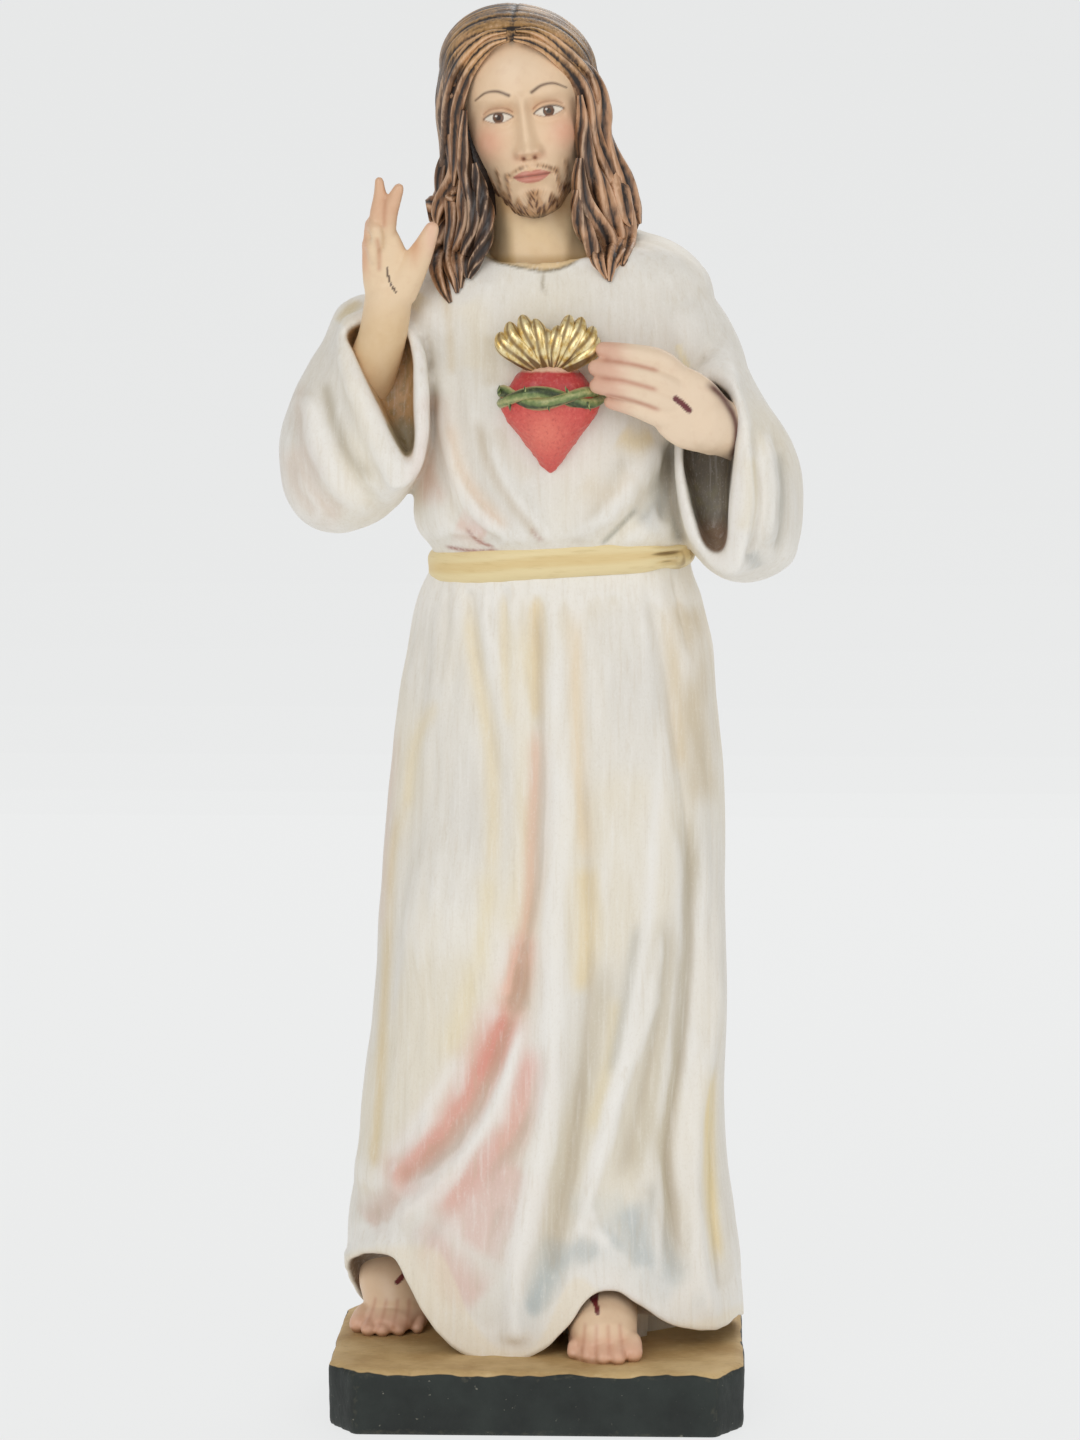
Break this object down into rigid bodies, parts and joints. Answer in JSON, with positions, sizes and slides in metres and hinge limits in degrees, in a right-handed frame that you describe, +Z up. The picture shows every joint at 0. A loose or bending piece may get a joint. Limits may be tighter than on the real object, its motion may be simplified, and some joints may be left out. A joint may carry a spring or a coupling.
{
  "type": "sacred heart statue",
  "caption": "Standing robed figure with a flaming heart on the chest, one hand raised in blessing, carved in one piece with a low base.",
  "frame": {"origin": "middle of the base's flat underside", "axes": "+Z up along the figure, -Y the way the figure faces, +X its left hand's side"},
  "size_m": [0.1111, 0.066, 0.2993],
  "materials": {
    "robe_paint": "satin hand-painted ivory with pastel shading",
    "skin_paint": "satin hand-painted skin tone",
    "hair_paint": "satin hand-painted brown with light strands",
    "belt_paint": "satin hand-painted ochre yellow",
    "heart_paint": "satin hand-painted red and green",
    "gilding": "gold leaf",
    "base_paint": "satin hand-painted dark green-black with an ochre top"
  },
  "bodies": {
    "root": {"statue": "robe_paint"}
  },
  "joints": []
}
